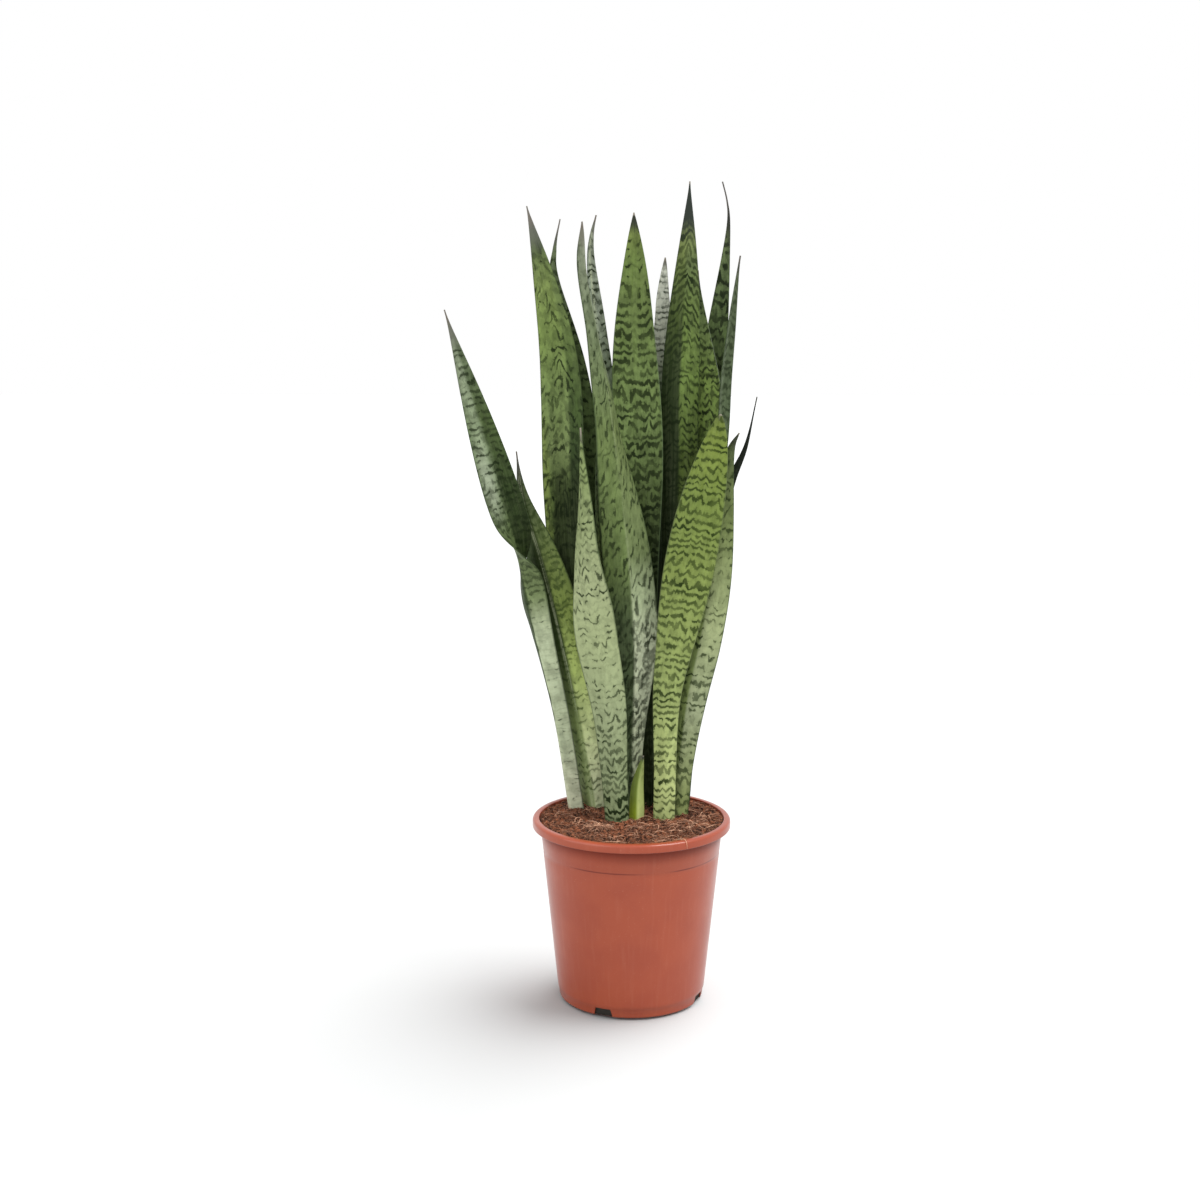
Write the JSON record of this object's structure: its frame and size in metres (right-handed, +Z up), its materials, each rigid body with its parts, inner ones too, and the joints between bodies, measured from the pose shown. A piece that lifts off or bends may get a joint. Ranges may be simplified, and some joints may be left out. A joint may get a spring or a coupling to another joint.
{
  "type": "potted snake plant",
  "caption": "Snake plant with upright, pointed, cross-banded leaves and a young shoot, rooted in soil in a tapered plastic nursery pot with a rolled rim and drain notches.",
  "frame": {"origin": "centre of the pot's underside, on the surface that the pot stands on", "axes": "+Z up along the pot's axis, -Y towards the front that the picture shows, +X to its right"},
  "size_m": [0.3264, 0.2128, 0.8742],
  "materials": {
    "pot": "satin",
    "soil": "matte",
    "leaf_green": "satin",
    "leaf_dark": "satin",
    "leaf_pale": "satin",
    "leaf_lime": "satin",
    "shoot": "satin"
  },
  "bodies": {
    "root": {"pot": "pot", "soil": "soil", "leaf_far_left": "leaf_green", "leaf_left": "leaf_lime", "leaf_front_left": "leaf_pale", "leaf_tall_left": "leaf_green", "leaf_back_left": "leaf_dark", "leaf_slim_left": "leaf_pale", "leaf_winding": "leaf_pale", "leaf_tall_centre": "leaf_green", "leaf_back_centre": "leaf_pale", "leaf_tallest": "leaf_green", "leaf_right_narrow": "leaf_dark", "leaf_back_right": "leaf_dark", "leaf_right_slender": "leaf_green", "leaf_front_right": "leaf_lime", "leaf_right": "leaf_lime", "leaf_far_right": "leaf_dark", "young_shoot": "shoot"}
  },
  "joints": []
}
